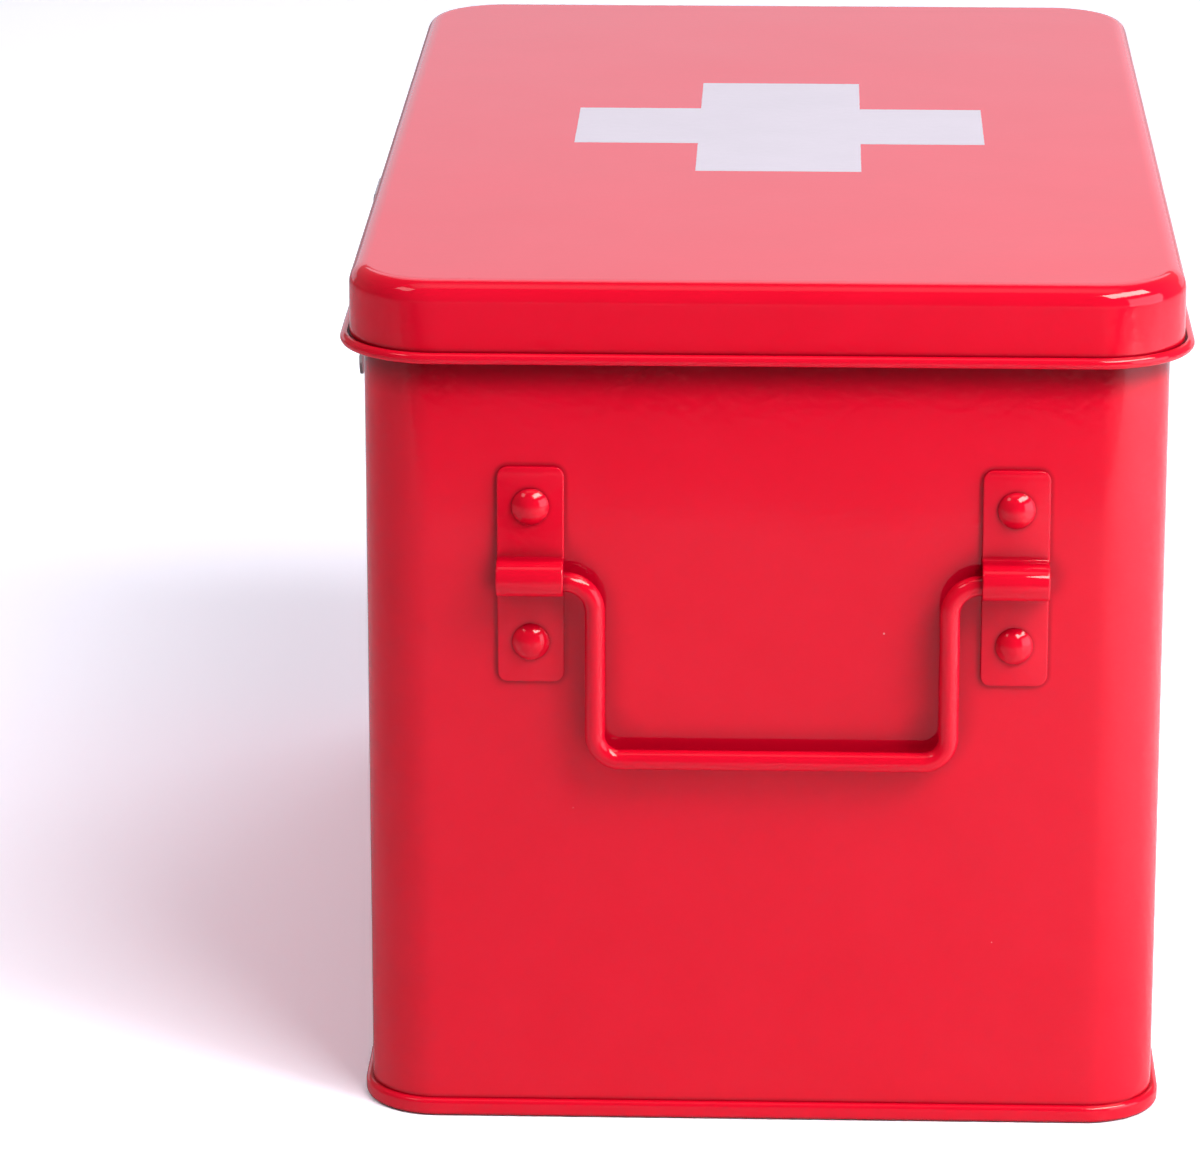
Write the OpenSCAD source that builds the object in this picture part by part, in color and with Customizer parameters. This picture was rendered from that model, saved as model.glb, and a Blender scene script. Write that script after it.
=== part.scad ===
// Sheet steel storage tin with an overlapping hinged lid, two wire drop
// handles and a draw latch. Millimetres, +Z up. The origin is on the plane the
// tin stands on, at the centre of its walls. +X runs along the length, the
// latch is on the -Y wall and the hinges are on the +Y wall.

/* [Body] */
// Length of the body over its walls, along X
body_l = 321; // [300:1:345]
// Width of the body over its walls, along Y
body_w = 187; // [170:1:205]
// Radius of the body's upright corners
body_r = 15.5; // [15:0.5:18]
// Height of the body's top edge, above the hem's centre line
body_top = 203.4; // [203.4:0.1:203.4]
// Thickness of the sheet steel of body, base and lid
sheet = 0.6; // [0.5:0.05:0.6]
// Diameter of the solid hem folded outwards round the body's mouth
hem_d = 1.6; // [1.2:0.1:1.6]

/* [Base seam] */
// Height of the double seam that the tin stands on
seam_h = 4.2; // [3.6:0.1:5]
// How far the double seam stands out from the body wall
seam_out = 1.7; // [1.2:0.1:2]
// Rounding of the seam's outer edges
seam_round = 1.2; // [0.6:0.1:1.2]
// Height of the underside of the pressed base panel above the floor
panel_z = 2.6; // [1.6:0.1:2.8]

/* [Lid] */
// Overall height of the closed tin
total_h = 205; // [205:0.5:206]
// How far the lid's wall stands out from the body wall on each side
lid_gap = 3.4; // [3.4:0.1:3.4]
// Radius of the lid's upright corners
lid_r = 21; // [20.5:0.5:21]
// Radius of the rounded edge between the lid's top and its wall
lid_edge_r = 4.6; // [3:0.1:4.6]
// Height of the centre of the rolled bead at the lid's lower edge
bead_z = 187.5; // [187.5:0.1:187.5]
// Diameter of the rolled bead
bead_d = 2.6; // [2.6:0.1:2.6]
// How far the bead's centre line stands out from the lid's wall
bead_out = 0.95; // [0.9:0.05:0.95]
// Diameter of the stiffening wire rolled into the bead
rim_wire_d = 1.36; // [1:0.02:1.36]

/* [Handles] */
// Sideways distance of each handle's centre from the tin's centre line, along Y
handle_y = 2; // [0:0.5:3]
// Distance between the centres of a handle's two straps
strap_spacing = 112.3; // [100:0.1:118]
// Width of a strap
strap_w = 15.6; // [12:0.1:18]
// Height of the lower end of a strap above the floor
strap_bottom = 108.9; // [100:0.1:112]
// Height of the upper end of a strap above the floor
strap_top = 161; // [155:0.1:166]
// Thickness of a strap
strap_t = 1.05; // [0.8:0.05:1.2]
// Corner radius of a strap
strap_r = 2.5; // [1:0.1:4]
// Outer radius of the loop pressed into a strap
loop_r = 4.25; // [4.2:0.01:4.4]
// Height of the loop's centre above the floor
loop_z = 135.15; // [134:0.05:136]
// Distance from the body wall to the loop's centre
loop_out = 4.5; // [4.4:0.1:4.8]
// Distance between the two rivets of a strap
rivet_spacing = 32.8; // [28:0.1:36]
// Diameter of a handle rivet's domed head
rivet_head_d = 9.2; // [7:0.1:9.4]
// Height of a handle rivet's domed head
rivet_head_h = 2.7; // [2:0.1:3.6]
// Diameter of the handle wire
wire_d = 4.7; // [4:0.1:4.8]
// Distance between the handle's two arms
arm_spacing = 82.3; // [76:0.1:90]
// Height of the centre of the handle's grip bar above the floor, at rest
grip_z = 91.2; // [88:0.1:96]
// Bend radius on the wire's centre line beside the straps
bend_top_r = 7; // [5:0.5:7]
// Bend radius on the wire's centre line beside the grip bar
bend_grip_r = 6; // [5:0.5:8]

/* [Hinges] */
// Distance of each hinge from the middle of the tin, along X
hinge_x = 65; // [60:1:115]
// Width of a hinge
hinge_w = 30; // [24:1:40]
// Thickness of a hinge leaf
leaf_t = 0.8; // [0.8:0.1:1]
// Outer radius of the knuckles
knuckle_r = 2.3; // [2.2:0.1:2.3]
// Radius of the hinge pins
hinge_pin_r = 1.25; // [1:0.05:1.25]
// Height of the hinge line above the floor
hinge_z = 183.4; // [183:0.1:183.4]

/* [Latch] */
// Distance of the lever's pivot from the body wall
lever_out = 7.3; // [7.3:0.1:7.5]
// Height of the lever's pivot above the floor
lever_z = 167; // [166:0.5:168]
// Distance from the lever's pivot down to the bail's ends
bail_drop = 8; // [7:0.5:8]
// Height of the lever's lower end above the floor
lever_bottom = 141.2; // [138:0.1:142]
// Diameter of the bail wire
bail_d = 1.8; // [1.6:0.1:1.8]
// Height of the bail's crossbar above the floor
bail_z = 188.9; // [188.7:0.1:189.1]
// Width of the lever
lever_w = 20; // [20:1:20]

/* [Hidden] */
$fn = 64;
eps = 0.01;

red = "#d8102c";
nickel = "#b9b8b4";
steel = "#8d8f92";

wall_x = body_l / 2;              // outer face of the body's end walls
wall_y = body_w / 2;              // outer face of the body's long walls
hem_z = body_top - hem_d / 2;     // centre line of the hem
lid_l = body_l + 2 * lid_gap;
lid_w = body_w + 2 * lid_gap;
lid_y = lid_w / 2;                // outer face of the lid's long walls
bead_r = bead_d / 2;

strap_mid = (strap_top + strap_bottom) / 2;
wire_r = wire_d / 2;
loop_in = loop_r - strap_t;       // inner radius of the strap's loop
barrel_z = loop_z - loop_in + wire_r + 0.1;   // the wire hangs in the bottom of the loop
barrel_x = wall_x + loop_out;
wire_end = strap_spacing / 2 + strap_w / 2 - 0.2;

shank_r = 2;                      // handle rivets
small_shank_r = 1.25;             // hinge and latch rivets
fit = 0.04;                       // room round a rivet's shank

hinge_y = wall_y + lid_gap + bead_out + bead_r + 0.1 + leaf_t - knuckle_r;
knuckle_gap = 0.3;
knuckle_w = (hinge_w - 2 * knuckle_gap) / 3;
hinge_rivet_x = 9.5;
hinge_body_rivet_z = 167;
hinge_lid_rivet_z = 194.25;

pivot_y = -(wall_y + lever_out);
bail_y = -(wall_y + lid_gap + bead_out + bead_r + 0.15 + bail_d / 2);
bail_end_z = lever_z - bail_drop;
bail_half = 11.4;                 // half the distance between the bail's arms
keeper_t = 0.8;
keeper_rivet_x = 10.5;
keeper_rivet_z = 195;
base_rivet_z = [151, 158.6];

// ---------- outlines and sweeps ----------

// Rectangle with rounded corners, centred, drawn as squares and circles
module rounded_rect(l, w, r) {
    square([l - 2 * r, w], center = true);
    square([l, w - 2 * r], center = true);
    for (i = [-1, 1], j = [-1, 1])
        translate([i * (l / 2 - r), j * (w / 2 - r)]) circle(r);
}

// Carries a profile round a rectangle of l by w with corner radius r. The
// profile's x is the distance out from the corner's centre, and its y is height.
module sweep_rect(l, w, r) {
    for (k = [0 : 3]) {
        cx = (k == 0 || k == 3) ? l / 2 - r : -(l / 2 - r);
        cy = (k < 2) ? w / 2 - r : -(w / 2 - r);
        translate([cx, cy, 0]) rotate([0, 0, 90 * k])
            rotate_extrude(angle = 90) children();
    }
    for (s = [0, 180]) rotate([0, 0, s]) {
        translate([-(l / 2 - r), w / 2 - r, 0]) rotate([90, 0, 90])
            linear_extrude(l - 2 * r) children();
        translate([l / 2 - r, w / 2 - r, 0]) rotate([90, 0, 0])
            linear_extrude(w - 2 * r) children();
    }
}

// Ring of tube cut square: outer radius ro, inner radius ri
module ring2(ro, ri) {
    difference() { circle(ro); circle(ri); }
}

// Quarter of a ring, from the +x axis to the +y axis
module quarter_ring2(ro, ri) {
    intersection() { ring2(ro, ri); square(ro + 1); }
}

// Cylinder along +X from x0 to x1, on the line y, z
module rod_x(r, x0, x1, y, z) {
    translate([x0, y, z]) rotate([0, 90, 0]) cylinder(h = x1 - x0, r = r);
}

// Cylinder along +Y from y0 to y1, on the line x, z
module rod_y(r, y0, y1, x, z) {
    translate([x, y0, z]) rotate([-90, 0, 0]) cylinder(h = y1 - y0, r = r);
}

// Extrudes a profile drawn in y and z along X, from x0 to x1
module plate_yz(x0, x1) {
    translate([x0, 0, 0]) rotate([90, 0, 90]) linear_extrude(x1 - x0) children();
}

// Domed rivet along +Z with the head's flat underside at z = 0. The shank goes
// down through grip millimetres and ends in a clenched tail.
module rivet(head_d, head_h, r, grip, tail_r, tail_h) {
    a = head_d / 2;
    big = (a * a + head_h * head_h) / (2 * head_h);
    rotate_extrude() {
        intersection() {
            translate([0, head_h - big]) circle(big);
            square([a, head_h]);
        }
        translate([0, -grip - eps]) square([r, grip + 2 * eps]);
        translate([0, -grip - tail_h]) square([tail_r, tail_h]);
    }
}

// ---------- body ----------

// Places of the four straps' rivets on one end wall, as [y, z]
strap_rivets = [for (j = [-1, 1], k = [-1, 1])
    [handle_y + j * strap_spacing / 2, loop_z + k * rivet_spacing / 2]];

// Places of the four hinge rivets in the body's back wall, as [x, z]
hinge_rivets = [for (i = [-1, 1], j = [-1, 1]) i * hinge_x + j * hinge_rivet_x];

module body_shell() {
    color(red) difference() {
        union() {
            sweep_rect(body_l, body_w, body_r) {
                translate([body_r - sheet, 1.05]) square([sheet, hem_z - 1.05]);
                translate([body_r - sheet + hem_d / 2, hem_z]) circle(hem_d / 2);
            }
            // lock seam down the back wall
            translate([-3, wall_y - sheet / 2, seam_h + 1])
                cube([6, sheet, hem_z - hem_d - seam_h - 1]);
        }
        for (p = strap_rivets) for (s = [-1, 1])
            rod_x(shank_r + fit, s * wall_x - 3, s * wall_x + 3, p[0], p[1]);
        for (x = hinge_rivets)
            rod_y(small_shank_r + fit, wall_y - 3, wall_y + 3, x, hinge_body_rivet_z);
        for (z = base_rivet_z)
            rod_y(small_shank_r + fit, -wall_y - 3, -wall_y + 3, 0, z);
    }
}

module base_panel() {
    skin = body_r - sheet - 0.03 - sheet;      // inner face of the seam's inner skin
    inset = 12;
    color(red) {
        sweep_rect(body_l, body_w, body_r) {
            // seam: inner skin, foot and rounded outer skin
            translate([skin, 0]) square([sheet, seam_h]);
            translate([skin, 0]) square([body_r + seam_out - seam_round - skin, 1]);
            translate([body_r + 0.03, 0])
                square([seam_out - seam_round - 0.03, seam_h]);
            translate([body_r + 0.03, seam_round])
                square([seam_out - 0.03, seam_h - 2 * seam_round]);
            for (z = [seam_round, seam_h - seam_round])
                intersection() {
                    translate([body_r + seam_out - seam_round, z]) circle(seam_round);
                    translate([body_r + 0.03, 0]) square([seam_out, seam_h]);
                }
            // panel, stepped down inside the seam
            translate([body_r - inset, seam_h - sheet])
                square([skin - body_r + inset + eps, sheet]);
            translate([body_r - inset, panel_z]) square([sheet, seam_h - panel_z]);
            translate([0, panel_z]) square([body_r - inset + eps, sheet]);
        }
        translate([0, 0, panel_z]) linear_extrude(sheet)
            square([body_l - 2 * body_r + eps, body_w - 2 * body_r + eps], center = true);
    }
}

// ---------- handle straps and rivets ----------

// Strap on the +X end wall. j is -1 for the front one and 1 for the back one.
module strap(j) {
    color(red) translate([wall_x, handle_y + j * strap_spacing / 2, 0])
        difference() {
            intersection() {
                // side outline, with the loop bent out round the wire
                translate([0, strap_w / 2, 0]) rotate([90, 0, 0])
                    linear_extrude(strap_w) difference() {
                        union() {
                            translate([0, strap_bottom])
                                square([strap_t, strap_top - strap_bottom]);
                            translate([0, loop_z - loop_r]) square([loop_out, 2 * loop_r]);
                            translate([loop_out, loop_z]) circle(loop_r);
                            // small fillets where the loop leaves the flat
                            for (s = [-1, 1]) difference() {
                                translate([strap_t - eps, loop_z + s * (loop_r + 0.35 - eps)])
                                    square([0.7, 0.7], center = true);
                                translate([strap_t + 0.7, loop_z + s * (loop_r + 0.7)]) circle(0.7);
                            }
                        }
                        translate([-1, loop_z - loop_in]) square([loop_out + 1, 2 * loop_in]);
                        translate([loop_out, loop_z]) circle(loop_in);
                    }
                // front outline
                translate([-1, 0, strap_mid]) rotate([90, 0, 90]) linear_extrude(12)
                    rounded_rect(strap_w, strap_top - strap_bottom, strap_r);
            }
            for (k = [-1, 1])
                rod_x(shank_r + fit, -1, 4, 0, loop_z + k * rivet_spacing / 2);
        }
}

module end_rivets() {
    color(red) for (p = strap_rivets)
        translate([wall_x + strap_t, p[0], p[1]]) rotate([0, 90, 0])
            rivet(rivet_head_d, rivet_head_h, shank_r, strap_t + sheet, 3.2, 1.2);
}

module near_strap_front() { strap(-1); }
module near_strap_back() { strap(1); }
module far_strap_front() { mirror([1, 0, 0]) strap(-1); }
module far_strap_back() { mirror([1, 0, 0]) strap(1); }
module near_strap_rivets() { end_rivets(); }
module far_strap_rivets() { mirror([1, 0, 0]) end_rivets(); }

// ---------- handles ----------

// Wire bent through 90 degrees. The bend's centre is the origin, and the wire
// leaves it along the y and z axes.
module wire_bend(r) {
    rotate([90, 0, 90]) rotate_extrude(angle = 90) translate([r, 0]) circle(wire_r);
}

module handle() {
    arm = arm_spacing / 2;
    color(red) translate([barrel_x, handle_y, 0]) {
        for (s = [0, 1]) mirror([0, s, 0]) {
            rod_y(wire_r, arm + bend_top_r, wire_end, 0, barrel_z);
            translate([0, arm + bend_top_r, barrel_z - bend_top_r])
                rotate([0, 0, 180]) wire_bend(bend_top_r);
            translate([0, arm, grip_z + bend_grip_r])
                cylinder(h = barrel_z - bend_top_r - grip_z - bend_grip_r, r = wire_r);
            translate([0, arm - bend_grip_r, grip_z + bend_grip_r])
                rotate([-90, 0, 0]) wire_bend(bend_grip_r);
        }
        rod_y(wire_r, -arm + bend_grip_r, arm - bend_grip_r, 0, grip_z);
    }
}

module near_handle() { handle(); }
module far_handle() { mirror([1, 0, 0]) handle(); }

// ---------- hinges ----------

// Body leaf of the hinge at +hinge_x
module hinge_body_leaf() {
    color(nickel) translate([hinge_x, 0, 0]) difference() {
        union() {
            // flat on the wall, with rounded lower corners
            translate([0, wall_y, 0]) rotate([90, 0, 180]) translate([0, 0, 0])
                linear_extrude(leaf_t) union() {
                    translate([-hinge_w / 2, 164]) square([hinge_w, 16]);
                    translate([-hinge_w / 2 + 3, 161]) square([hinge_w - 6, 4]);
                    for (s = [-1, 1]) translate([s * (hinge_w / 2 - 3), 164]) circle(3);
                }
            // two outer knuckles, each on a leg that steps out from the wall
            for (s = [-1, 1]) {
                x0 = s < 0 ? -hinge_w / 2 : hinge_w / 2 - knuckle_w;
                plate_yz(x0, x0 + knuckle_w) {
                    translate([hinge_y, hinge_z]) circle(knuckle_r);
                    polygon([[wall_y, 178.5], [wall_y + leaf_t, 178.5],
                        [hinge_y - 1.45, hinge_z - 1.5], [hinge_y - 1.9, hinge_z + 0.8],
                        [wall_y, 180.4]]);
                }
            }
        }
        rod_x(hinge_pin_r + 0.01, -hinge_w, hinge_w, hinge_y, hinge_z);
        for (x = [-hinge_rivet_x, hinge_rivet_x])
            rod_y(small_shank_r + fit, wall_y - 1, wall_y + 3, x, hinge_body_rivet_z);
    }
}

// Lid leaf of the hinge at +hinge_x
module hinge_lid_leaf() {
    out = hinge_y + knuckle_r;
    color(nickel) translate([hinge_x, 0, 0]) difference() {
        union() {
            // flat on the lid's wall, then stepped out over the bead
            plate_yz(-hinge_w / 2, hinge_w / 2)
                polygon([[lid_y, 196.6], [lid_y + leaf_t, 196.6],
                    [lid_y + leaf_t, 191.9], [out, 188.9], [out, 186.1],
                    [out - leaf_t, 186.1], [out - leaf_t, 188.6], [lid_y, 191.6]]);
            // middle knuckle
            plate_yz(-knuckle_w / 2, knuckle_w / 2) {
                translate([hinge_y, hinge_z]) circle(knuckle_r);
                translate([out - leaf_t, hinge_z]) square([leaf_t, 186.2 - hinge_z]);
            }
        }
        rod_x(hinge_pin_r + 0.05, -hinge_w, hinge_w, hinge_y, hinge_z);
        for (x = [-hinge_rivet_x, hinge_rivet_x])
            rod_y(small_shank_r + fit, lid_y - 1, lid_y + 3, x, hinge_lid_rivet_z);
    }
}

// Pin with a head at each end, riveted into the body leaf's knuckles
module hinge_pin() {
    e = hinge_w / 2;
    color(nickel) translate([hinge_x, 0, 0]) {
        rod_x(hinge_pin_r, -e - 0.04, e + 0.04, hinge_y, hinge_z);
        for (s = [-1, 1])
            rod_x(1.9, s > 0 ? e + 0.03 : -e - 0.73, s > 0 ? e + 0.73 : -e - 0.03, hinge_y, hinge_z);
    }
}

module near_hinge_body_leaf() { hinge_body_leaf(); }
module far_hinge_body_leaf() { translate([-2 * hinge_x, 0, 0]) hinge_body_leaf(); }
module near_hinge_lid_leaf() { hinge_lid_leaf(); }
module far_hinge_lid_leaf() { translate([-2 * hinge_x, 0, 0]) hinge_lid_leaf(); }
module near_hinge_pin() { hinge_pin(); }
module far_hinge_pin() { translate([-2 * hinge_x, 0, 0]) hinge_pin(); }

module hinge_body_rivets() {
    color(nickel) for (x = hinge_rivets)
        translate([x, wall_y + leaf_t, hinge_body_rivet_z]) rotate([-90, 0, 0])
            rivet(5, 1.1, small_shank_r, leaf_t + sheet, 2, 0.8);
}

module hinge_lid_rivets() {
    color(nickel) for (x = hinge_rivets)
        translate([x, lid_y + leaf_t, hinge_lid_rivet_z]) rotate([-90, 0, 0])
            rivet(4.4, 0.8, small_shank_r, leaf_t + sheet, 2, 0.7);
}

// ---------- latch ----------

module latch_base() {
    color(nickel) difference() {
        union() {
            // plate on the wall, with rounded lower corners
            translate([0, -wall_y, 0]) rotate([90, 0, 0]) linear_extrude(1) union() {
                translate([-9, 149]) square([18, 22]);
                translate([-6, 146]) square([12, 4]);
                for (s = [-1, 1]) translate([s * 6, 149]) circle(3);
            }
            // two ears that carry the lever's pivot
            for (s = [-1, 1])
                plate_yz(s < 0 ? -9 : 8, s < 0 ? -8 : 9) {
                    translate([pivot_y, lever_z]) circle(3);
                    translate([pivot_y, lever_z - 3]) square([-wall_y - pivot_y - 0.5, 6]);
                }
        }
        rod_x(1.5 + 0.05, -12, 12, pivot_y, lever_z);
        for (z = base_rivet_z)
            rod_y(small_shank_r + fit, -wall_y - 3, -wall_y + 1, 0, z);
    }
}

module latch_base_rivets() {
    color(nickel) for (z = base_rivet_z)
        translate([0, -wall_y - 1, z]) rotate([90, 0, 0])
            rivet(5, 1.4, small_shank_r, 1 + sheet, 2.1, 0.9);
}

// Pin through the ears and the lever's two cheeks, with a flat head at each end
module latch_pivot_pin() {
    h = lever_w / 2;
    color(nickel) {
        rod_x(1.5, -h - 0.05, h + 0.05, pivot_y, lever_z);
        for (s = [-1, 1])
            rod_x(2.2, s > 0 ? h + 0.04 : -h - 0.42, s > 0 ? h + 0.42 : -h - 0.04, pivot_y, lever_z);
    }
}

module latch_lever() {
    h = lever_w / 2;
    t = 0.8;
    face = pivot_y - 3.7;           // outer face of the lever
    lip = face - 0.8;               // outer face of the finger lip
    color(nickel) difference() {
        union() {
            // face plate with a finger lip, rounded at its lower corners
            intersection() {
                plate_yz(-h, h) polygon([[face, lever_z - 2.5], [face, lever_bottom + 9],
                    [lip, lever_bottom + 6], [lip, lever_bottom + 0.3],
                    [lip + 0.3, lever_bottom], [lip + t - 0.2, lever_bottom],
                    [lip + t, lever_bottom + 0.3], [lip + t, lever_bottom + 5.8],
                    [face + t, lever_bottom + 8.8], [face + t, lever_z - 2.5]]);
                translate([0, lip + 4, 0]) rotate([90, 0, 0]) linear_extrude(8) union() {
                    translate([-h, lever_bottom + 6]) square([2 * h, 40]);
                    translate([-h + 6, lever_bottom - 1]) square([2 * h - 12, 10]);
                    for (s = [-1, 1]) translate([s * (h - 6), lever_bottom + 6]) circle(6);
                }
            }
            // two cheeks, outside the base's ears
            for (s = [-1, 1])
                plate_yz(s < 0 ? -h : h - t, s < 0 ? -h + t : h) {
                    translate([pivot_y, lever_z]) circle(3);
                    translate([bail_y, bail_end_z]) circle(2.2);
                    polygon([[pivot_y + 3, lever_z], [bail_y + 2.2, bail_end_z],
                        [bail_y + 1.2, bail_end_z - 1.8], [face + 0.2, lever_bottom + 12],
                        [face + 0.2, lever_z - 2.5], [pivot_y - 3, lever_z]]);
                }
        }
        rod_x(1.5 + 0.05, -12, 12, pivot_y, lever_z);
        rod_x(bail_d / 2 + 0.05, -12, 12, bail_y, bail_end_z);
    }
}

// Wire bail: two arms, a crossbar over the keeper and two ends bent inwards
// into the lever's cheeks
module latch_bail() {
    r = bail_d / 2;
    b = 2.4;                        // bend radius at the crossbar
    color(nickel) {
        for (s = [0, 1]) mirror([s, 0, 0]) {
            // end in the lever's cheek, with a sharp bend rounded by a ball
            rod_x(r, 9.0, bail_half, bail_y, bail_end_z);
            translate([bail_half, bail_y, bail_end_z]) sphere(r);
            translate([bail_half, bail_y, bail_end_z])
                cylinder(h = bail_z - b - bail_end_z, r = r);
            translate([bail_half - b, bail_y, bail_z - b])
                rotate([90, 0, 0]) rotate_extrude(angle = 90) translate([b, 0]) circle(r);
        }
        rod_x(r, -bail_half + b, bail_half - b, bail_y, bail_z);
    }
}

// Keeper plate on the lid's front wall, with a low lip for the bail
module latch_keeper() {
    color(nickel) difference() {
        union() {
            translate([0, -lid_y, 0]) rotate([90, 0, 0]) linear_extrude(keeper_t) union() {
                translate([-14, 191.2]) square([28, 5.2]);
                translate([-12, 189.6]) square([24, 9]);
                for (s = [-1, 1]) {
                    translate([s * 12, 196.6]) circle(2);
                    translate([s * 12, 191.6]) circle(2);
                }
            }
            // lip that the crossbar is drawn down over
            plate_yz(-7, 7) {
                translate([-lid_y - keeper_t - 0.5, 191.4]) circle(0.5);
                translate([-lid_y - keeper_t - 0.5, 190.9]) square([0.6, 1]);
                polygon([[-lid_y - 0.4, 193.4], [-lid_y - keeper_t, 193.4],
                    [-lid_y - keeper_t - 0.5, 191.9], [-lid_y - keeper_t - 0.5, 190.9],
                    [-lid_y - 0.4, 190.1]]);
            }
        }
        for (s = [-1, 1])
            rod_y(small_shank_r + fit, -lid_y - 3, -lid_y + 1, s * keeper_rivet_x, keeper_rivet_z);
    }
}

module latch_keeper_rivets() {
    color(nickel) for (s = [-1, 1])
        translate([s * keeper_rivet_x, -lid_y - keeper_t, keeper_rivet_z]) rotate([90, 0, 0])
            rivet(4.6, 1, small_shank_r, keeper_t + sheet, 2, 0.7);
}

// ---------- lid ----------

module lid_shell() {
    arc_z = total_h - lid_edge_r;
    color(red) difference() {
        union() {
            sweep_rect(lid_l, lid_w, lid_r) {
                // wall
                translate([lid_r - sheet, bead_z]) square([sheet, arc_z - bead_z]);
                // rounded edge
                translate([lid_r - lid_edge_r, arc_z])
                    quarter_ring2(lid_edge_r, lid_edge_r - sheet);
                // top
                translate([0, total_h - sheet])
                    square([lid_r - lid_edge_r, sheet]);
                // bead rolled outwards, open by a slit against the wall
                difference() {
                    translate([lid_r + bead_out, bead_z]) ring2(bead_r, bead_r - sheet);
                    translate([lid_r, bead_z + 0.25]) square([0.4, 2]);
                }
            }
            translate([0, 0, total_h - sheet]) linear_extrude(sheet)
                square([lid_l - 2 * lid_r + eps, lid_w - 2 * lid_r + eps], center = true);
        }
        for (x = hinge_rivets)
            rod_y(small_shank_r + fit, lid_y - 2, lid_y + 2, x, hinge_lid_rivet_z);
        for (s = [-1, 1])
            rod_y(small_shank_r + fit, -lid_y - 2, -lid_y + 2, s * keeper_rivet_x, keeper_rivet_z);
    }
}

module lid_rim_wire() {
    color(steel) sweep_rect(lid_l, lid_w, lid_r)
        translate([lid_r + bead_out, bead_z]) circle(rim_wire_d / 2);
}

// ---------- output ----------

body_shell();
base_panel();
near_strap_front();
near_strap_back();
far_strap_front();
far_strap_back();
near_strap_rivets();
far_strap_rivets();
near_handle();
far_handle();
near_hinge_body_leaf();
far_hinge_body_leaf();
near_hinge_pin();
far_hinge_pin();
hinge_body_rivets();
latch_base();
latch_base_rivets();
latch_pivot_pin();
lid_shell();
lid_rim_wire();
near_hinge_lid_leaf();
far_hinge_lid_leaf();
hinge_lid_rivets();
latch_keeper();
latch_keeper_rivets();
latch_lever();
latch_bail();
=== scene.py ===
import math

import bmesh
import bpy
import numpy as np
from mathutils import Matrix, Vector


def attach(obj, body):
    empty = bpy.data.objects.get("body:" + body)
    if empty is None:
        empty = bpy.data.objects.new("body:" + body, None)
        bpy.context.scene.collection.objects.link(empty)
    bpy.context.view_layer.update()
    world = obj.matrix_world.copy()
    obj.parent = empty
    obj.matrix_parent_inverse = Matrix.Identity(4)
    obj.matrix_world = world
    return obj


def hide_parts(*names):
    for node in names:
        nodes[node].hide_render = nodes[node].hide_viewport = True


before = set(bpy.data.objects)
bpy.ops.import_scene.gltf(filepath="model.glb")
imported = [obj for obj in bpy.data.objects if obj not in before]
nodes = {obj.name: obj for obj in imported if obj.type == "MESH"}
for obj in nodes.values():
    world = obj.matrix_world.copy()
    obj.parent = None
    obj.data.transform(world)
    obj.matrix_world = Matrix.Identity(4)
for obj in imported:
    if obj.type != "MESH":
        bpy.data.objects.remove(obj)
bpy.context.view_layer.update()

MM = 0.001
scene = bpy.context.scene

# The tin's driving sizes, in millimetres, as the CAD model has them
BODY_L, BODY_W, BODY_R, SHEET = 321.0, 187.0, 16.5, 0.6
LID_L, LID_W, LID_R, TOP_Z = 327.8, 193.8, 21.0, 205.0
EDGE_R, BEAD_Z, BEAD_R = 4.6, 187.5, 1.3
WALL_X, WALL_Y = BODY_L / 2, BODY_W / 2
HANDLE_Y, STRAP_SPACING, STRAP_W = 2.0, 112.3, 15.6
STRAP_LOW, STRAP_HIGH, STRAP_T, STRAP_R = 108.9, 161.0, 1.05, 2.5
LOOP_R, LOOP_Z, LOOP_OUT = 4.25, 135.15, 4.5
RIVET_SPACING = 32.8
WIRE_R, ARM, GRIP_Z, BEND_TOP, BEND_GRIP = 2.35, 41.15, 91.2, 7.0, 6.0
BARREL_Z = LOOP_Z - (LOOP_R - STRAP_T) + WIRE_R + 0.1
LEAN = 0.034            # the near front strap's upper flat stands a little off the wall by its loop


# ---------------------------------------------------------------- mesh tools

def new_object(name, bm, smooth_deg=40.0, merge=1e-7):
    """Turns a bmesh in millimetres into a smooth-shaded object in metres."""
    bmesh.ops.remove_doubles(bm, verts=bm.verts, dist=max(merge, 1e-4))
    bmesh.ops.dissolve_degenerate(bm, dist=1e-5, edges=bm.edges)
    bmesh.ops.recalc_face_normals(bm, faces=bm.faces)
    bmesh.ops.scale(bm, vec=(MM, MM, MM), verts=bm.verts)
    mesh = bpy.data.meshes.new(name)
    bm.to_mesh(mesh)
    bm.free()
    for p in mesh.polygons:
        p.use_smooth = True
    mesh.set_sharp_from_angle(angle=math.radians(smooth_deg))
    obj = bpy.data.objects.new(name, mesh)
    scene.collection.objects.link(obj)
    return obj


def arc(cx, cz, r, a0, a1, n):
    """Points of an arc from a0 to a1 degrees."""
    return [(cx + r * math.cos(math.radians(a0 + (a1 - a0) * i / n)),
             cz + r * math.sin(math.radians(a0 + (a1 - a0) * i / n))) for i in range(n + 1)]


def steps(a, b, n):
    return [a + (b - a) * i / n for i in range(n + 1)]


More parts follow.
